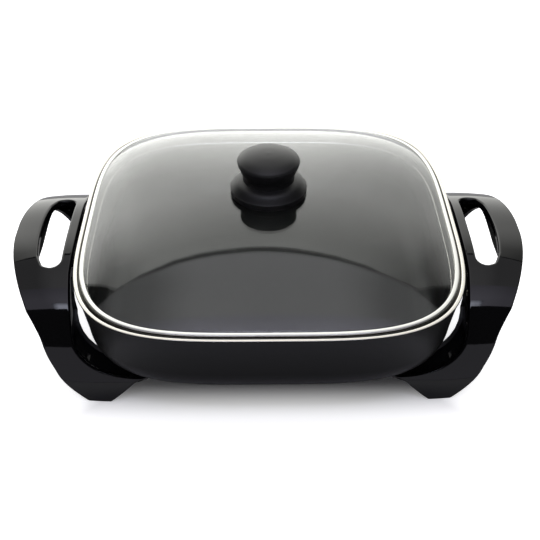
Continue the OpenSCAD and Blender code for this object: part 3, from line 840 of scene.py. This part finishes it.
# Depths of the wall beside the web and the pan's corner, and round the finger hole
web_depth, hole_depth = 23.0, 6.0
by_web = edge_array[:, 0] < web_half + 3
edge_depths = np.where(by_web, np.minimum(edge_depths, web_depth), edge_depths)
add_border(face_edge, edge_way, edge_radii, edge_depths, outer_x)
add_border(face_hole, hole_way, hole_radii, np.full(len(face_hole), hole_depth), None, True)
# Phenolic resin from a polished mould: black, with sharp reflections that waver
# over about 12 mm, as the resin flowed
phenolic = smooth_material("polished_phenolic", "#08080a", 0.0, 0.045, 12.0)
# The same resin from the mould's unpolished core: greyer and dull
phenolic_inside = smooth_material("moulded_phenolic_inside", "#101012", 0.0, 0.32, 0.8)

# Outlines of the moulding, to tell the solid's outside from its hollow
face_line = np.stack(face_place(np.linspace(-s_end, s_end, 1500)), 1)
hole_line = np.array(hole_half_loop + [(x, -y) for x, y in hole_half_loop])
inner_line = np.array(corner_points + [(web_half, web_top), (web_half, grip_top + 5)])
under_line = np.array(under_points)
# How near its own outline, in millimetres, a face of the solid counts as outside
face_near, hole_near, outer_near, edge_near, sole_near = 0.45, 1.2, 0.7, 0.9, 0.05
hole_foot, tongue_depth = 60, 3.2


def inner_faces(cad, side):
    """The solid's faces that aren't part of its glossy outside, as points and faces."""
    mesh = cad.data
    points = np.array([v.co for v in mesh.vertices]) * 1000
    points[:, 0] *= side
    kept = []
    for polygon in mesh.polygons:
        middle = points[list(polygon.vertices)].mean(0)
        x, y, z = middle
        way_x, _, way_z = np.array(polygon.normal) * (side, 1, 1)
        from_inner = abs(x - np.interp(z, inner_line[:, 1], inner_line[:, 0]))
        from_under = abs(x - np.interp(z, under_line[:, 1], under_line[:, 0]))
        outside_now = (
            np.hypot(*(face_line - middle[1:]).T).min() < face_near
            or (z > hole_foot and np.hypot(*(hole_line - middle[:2]).T).min() < hole_near)
            or (abs(x - float(outer_x(y, z))) < outer_near and way_x > 0.2)
            or (from_inner < edge_near and z > pad_top + 0.5 and (way_x < -0.2 or way_z > 0.5))
            or (from_under < edge_near and z < pad_top - tongue_depth and way_x < -0.05)
            or z < sole_near
        )
        if not outside_now:
            kept.append(tuple(polygon.vertices))
    return points, kept


def make_handle(name, cad_name, side):
    """The glossy skin, and the solid's own inner faces behind it as the hollow."""
    points = np.array(skin_points) * (side, 1, 1)
    normals = np.array(skin_normals) * (side, 1, 1)
    faces = []
    for face in skin_faces:
        a, b, c = points[face[0]], points[face[1]], points[face[2]]
        way = np.cross(b - a, c - a)
        if len(face) == 4:
            way = way + np.cross(c - a, points[face[3]] - a)
        faces.append(face if way @ normals[list(face)].sum(0) > 0 else face[::-1])
    made = mesh_object(name, points, faces, [phenolic])
    lengths = np.linalg.norm(normals, axis=1)[:, None]
    made.data.normals_split_custom_set_from_vertices((normals / lengths).tolist())
    dress(made, "skillet", "handle_phenolic", cad_name)
    cad_points, cad_faces = inner_faces(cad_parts[cad_name], side)
    cad_points[:, 0] *= side
    hollow = mesh_object(name + "_hollow", cad_points, cad_faces, [phenolic_inside])
    hollow.data.polygons.foreach_set("use_smooth", [False] * len(cad_faces))
    work = bmesh.new()
    work.from_mesh(hollow.data)
    bmesh.ops.delete(work, geom=[v for v in work.verts if not v.link_faces], context="VERTS")
    work.to_mesh(hollow.data)
    work.free()
    dress(hollow, "skillet", "handle_phenolic")


make_handle("left_housing", "left_handle", -1)
make_handle("right_housing", "right_handle", 1)


# ---- Glass of the lid ----
# Float glass cut square-round, bored in the middle, sagged in a mould to a low
# dome with a quick turn at its edge, then tempered; the edge sits in the band.
glass_thickness, dome_rise, edge_turn, glass_land = 3.0, 27.2, 0.33, 2.4
seat_play, lid_gap = 1.5, 0.3
band_sheet, band_side, band_round = 0.35, 0.6, 0.9
band_half = seat_half - seat_play
glass_half = band_half - band_side
dome_half = glass_half - glass_land
glass_edge = seat_z + lid_gap + band_sheet + glass_thickness


def dome_z(half):
    """Height of the glass's outer face at a distance from the middle."""
    t = min(1.0, half / dome_half)
    return glass_edge + dome_rise * (1 - (1 - edge_turn) * t * t - edge_turn * t**8)


def dome_power(half):
    """Squareness of the glass: round at the knob, as square as the rim at the edge."""
    return 2 + (corner_power - 2) * min(1.0, half / dome_half) ** 2


glass_bore, glass_steps = 4.5, 60
halves = [glass_half, dome_half + 1.2]
for i in range(glass_steps + 1):
    halves.append(dome_half - (dome_half - glass_bore) * (i / glass_steps) ** 1.35)
upper = [ring(h, dome_z(h), dome_power(h)) for h in halves]
lower = [ring(h, dome_z(h) - glass_thickness, dome_power(h)) for h in halves[::-1]]
# Soda-lime glass: clear with a trace of grey, and it lets the light through to
# what it covers, dimmed a little
glass = bare_material("tempered_glass")
glass_path = node(glass, "LightPath")
glass_body = node(
    glass,
    "BsdfPrincipled",
    {
        "Base Color": colour("#e6e8e8"),
        "Roughness": 0.0,
        "Transmission Weight": 1.0,
        "IOR": 1.5,
    },
)
surface(
    glass,
    node(
        glass,
        "MixShader",
        {
            0: glass_path.outputs["Is Shadow Ray"],
            1: glass_body.outputs[0],
            2: node(glass, "BsdfTransparent", {"Color": colour("#e2e4e4")}).outputs[0],
        },
    ),
)
glass_pane = loft("glass_dome", upper + lower, [glass], closed=True)
crease(glass_pane, degrees=40)
dress(glass_pane, "lid", "lid_glass", "lid_glass")


# ---- Band round the glass ----
# Stainless strip rolled to a channel, bent round the glass edge and butt
# welded, then polished.
band_foot = seat_z + lid_gap
band_top = glass_edge + band_sheet
# Buffed stainless: a bright, nearly mirrored line
band_steel = smooth_material("polished_stainless", "#d9d9d6", 1.0, 0.1, 2.0)
lip_half, foot_round = dome_half - 0.3, 0.6
band_outside = (
    arc(band_sheet, (lip_half + band_sheet, band_top - band_sheet), 180, 90, 4)
    + arc(band_round, (band_half - band_round, band_top - band_round), 90, 0, 10)
    + arc(foot_round, (band_half - foot_round, band_foot + foot_round), 0, -90, 4)
    + [(dome_half, band_foot)]
)
band_inside = [
    (dome_half, band_foot + band_sheet),
    (glass_half, band_foot + band_sheet),
    (glass_half, glass_edge),
    (lip_half, glass_edge),
]
band_profile = band_outside + band_inside
band = loft("glass_band", [ring(h, z) for h, z in band_profile], [band_steel], closed=True)
crease(band, degrees=40)
dress(band, "lid", "band_steel", "lid_band")


# ---- Knob ----
# Two compression-moulded phenolic pieces with a satin finish: a waisted cap
# and the cone-shaped skirt under it, which one screw clamps to the glass.
glass_top = glass_edge + dome_rise
skirt_radius, neck_radius, cap_radius = 32.0, 21.7, 26.0
skirt_gap, skirt_side, cone_rise, cap_rise, crown_rise = 0.3, 5, 8.6, 15.4, 7.4
skirt_foot = dome_z(skirt_radius) + skirt_gap
skirt_edge = skirt_foot + skirt_side
neck_z = skirt_edge + cone_rise
cap_ring = neck_z + cap_rise
cap_top = cap_ring + crown_rise
knob_steps = 128
# Phenolic from a finely blasted mould: black with a broad, dull sheen
knob_phenolic = coating_material("satin_phenolic", "#101011", 0.42, 0.4)
cap_points = smooth_curve(
    [
        (neck_radius, neck_z + 3.6), (cap_radius - 1.6, cap_ring - 5.5), (cap_radius, cap_ring),
        (cap_radius - 2.6, cap_ring + 2.6), (cap_radius * 0.7, cap_ring + crown_rise * 0.66),
        (cap_radius * 0.36, cap_top - crown_rise * 0.09), (0, cap_top),
    ],
    10,
)
cap_points.insert(0, (neck_radius, neck_z - 1))
cap = lathe("knob_cap_moulding", cap_points, knob_phenolic, knob_steps)
dress(cap, "lid", "knob_phenolic", "knob_cap")
skirt_top = smooth_curve(
    [
        (skirt_radius, skirt_edge), (skirt_radius - 0.7, skirt_edge + 0.6),
        ((skirt_radius + neck_radius) / 2, skirt_edge + cone_rise * 0.62),
        (neck_radius, neck_z - 1),
    ],
    8,
)
gasket_thickness, skirt_inner = 0.8, 29.6
skirt_seat = glass_top + gasket_thickness
skirt_points = [(glass_bore, skirt_seat), (15, skirt_seat), (16, skirt_seat + 1)]
skirt_points += [(skirt_inner, skirt_seat + 1), (skirt_inner, skirt_foot)]
skirt_points += [(skirt_radius - 0.4, skirt_foot), (skirt_radius, skirt_foot + 0.4)]
skirt_points += skirt_top
skirt = lathe("knob_skirt_moulding", skirt_points, knob_phenolic, knob_steps)
dress(skirt, "lid", "knob_phenolic", "knob_skirt")


# ---- Heating element ----
# Drawn steel tube filled with magnesia, bent to a square-round loop and pressed
# into a ridge cast under the pan; its two ends run straight to the pins.
def sweep(name, path, section, material, body, slot, *nodes):
    """Carries a flat (across, up) section along a level path."""
    line = np.array(path, float)
    way = np.gradient(line, axis=0)
    way /= np.linalg.norm(way, axis=1)[:, None]
    across = np.stack([way[:, 1], -way[:, 0], np.zeros(len(line))], 1)
    count = len(section)
    points = [
        p + sideways * out + np.array([0, 0, up])
        for p, sideways in zip(line, across)
        for out, up in section
    ]
    faces = []
    for i in range(len(line) - 1):
        for k in range(count):
            m = (k + 1) % count
            faces.append((i * count + k, i * count + m, (i + 1) * count + m, (i + 1) * count + k))
    faces += [tuple(range(count))[::-1], tuple((len(line) - 1) * count + k for k in range(count))]
    made = mesh_object(name, points, faces, [material])
    work = bmesh.new()
    work.from_mesh(made.data)
    bmesh.ops.recalc_face_normals(work, faces=work.faces)
    work.to_mesh(made.data)
    work.free()
    crease(made)
    dress(made, body, slot, *nodes)


tube_radius, loop_half, loop_corner, lead_bend, lead_y = 3.25, 70.0, 35.0, 12.0, 12.7
element_drop, lead_past = 1.75, 2.5
element_z = base_z - tube_radius - element_drop
lead_end = base_half + lead_past
gap_half = lead_y + lead_bend
straight = loop_half - loop_corner
loop_path = [(loop_half, gap_half)]
for turn, (x, y) in enumerate(((1, 1), (-1, 1), (-1, -1), (1, -1))):
    bend = (x * straight, y * straight)
    loop_path += arc(loop_corner, bend, 90 * turn, 90 * turn + 90, 16)
loop_path.append((loop_half, -gap_half))
rear_lead = [(lead_end, lead_y)]
rear_lead += arc(lead_bend, (loop_half + lead_bend, gap_half), 270, 180, 8)
front_lead = [(x, -y) for x, y in rear_lead[::-1]]
tube_path = rear_lead[:-1] + loop_path + front_lead[1:]
tube_section = arc(tube_radius, (0, 0), 0, 360, 24)[:-1]
# Drawn steel that its own heat has browned in patches: dull, without a mirror
sheath = smooth_material("heat_tinted_sheath", "#6f6a63", 1.0, 0.42, 5.0)
sweep(
    "heating_tube",
    [(x, y, element_z) for x, y in tube_path],
    tube_section,
    sheath,
    "skillet",
    "element_sheath",
    "heating_element",
)
# The ridge grips the tube a little past its middle
groove = arc(tube_radius + 0.05, (0, 0), 207, -27, 14)
ridge_depth, ridge_half, ridge_root, groove_half = 6.5, 5.6, 6.4, 3.2
ridge_up = base_z - element_z + 0.5
ridge_down = base_z - ridge_depth - element_z
ridge_section = [(-ridge_half, ridge_down), (-groove_half, ridge_down)] + groove
ridge_section += [(groove_half, ridge_down), (ridge_half, ridge_down)]
ridge_section += [(ridge_root, ridge_up), (-ridge_root, ridge_up)]
ridge_path = [(x, y, element_z) for x, y in loop_path]
sweep("element_ridge", ridge_path, ridge_section, nonstick, "skillet", "pan_coating")


# ---- Terminals, sensor well and guard ----
# Nickel-plated pins in steatite beads, a cast block bored for the tip of the
# plug-in thermostat, and an enamelled sheet-steel shroud round them.
def restyle(material, *names):
    """Gives solids that keep their shape their real finish."""
    for name in names:
        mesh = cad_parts[name].data
        mesh.materials.clear()
        mesh.materials.append(material)


# Bright nickel plate with a faint warm cast
nickel = smooth_material("nickel_plate", "#c9c4b8", 1.0, 0.18, 1.0)
restyle(nickel, "terminal_pin_front", "terminal_pin_rear")
# Unglazed ceramic: cream, fine-grained and matt
steatite = smooth_material("steatite", "#e6dfcf", 0.0, 0.5, 0.4)
restyle(steatite, "terminal_insulator_front", "terminal_insulator_rear")
# As cast, shot-blasted: an even dull grey
restyle(smooth_material("cast_aluminium", "#9a9a9b", 1.0, 0.45, 1.2), "sensor_well")
# Baked enamel on sheet: black with a soft sheen
restyle(smooth_material("satin_enamel", "#161617", 0.0, 0.35, 0.8), "terminal_guard")


# ---- Fasteners, insert and gaskets ----
# Zinc-plated steel screws and washers, bluish grey and half bright, a turned brass
# insert moulded into the knob, and silicone rings either side of the glass.
zinc = smooth_material("zinc_plate", "#b9bcbf", 1.0, 0.3, 0.8)
restyle(zinc, "guard_screws", "leg_screws", "web_screws", "knob_screw")
restyle(zinc, "leg_washers", "web_washers", "knob_washer")
# Turned on a lathe: yellow with fine tool marks
restyle(smooth_material("turned_brass", "#b5985a", 1.0, 0.25, 0.5), "knob_insert")
# Moulded silicone: grey, soft and matt
silicone = smooth_material("silicone_rubber", "#8b8883", 0.0, 0.6, 0.6)
restyle(silicone, "knob_gasket_upper", "knob_gasket_lower")

bpy.context.scene.view_settings.view_transform = "Standard"
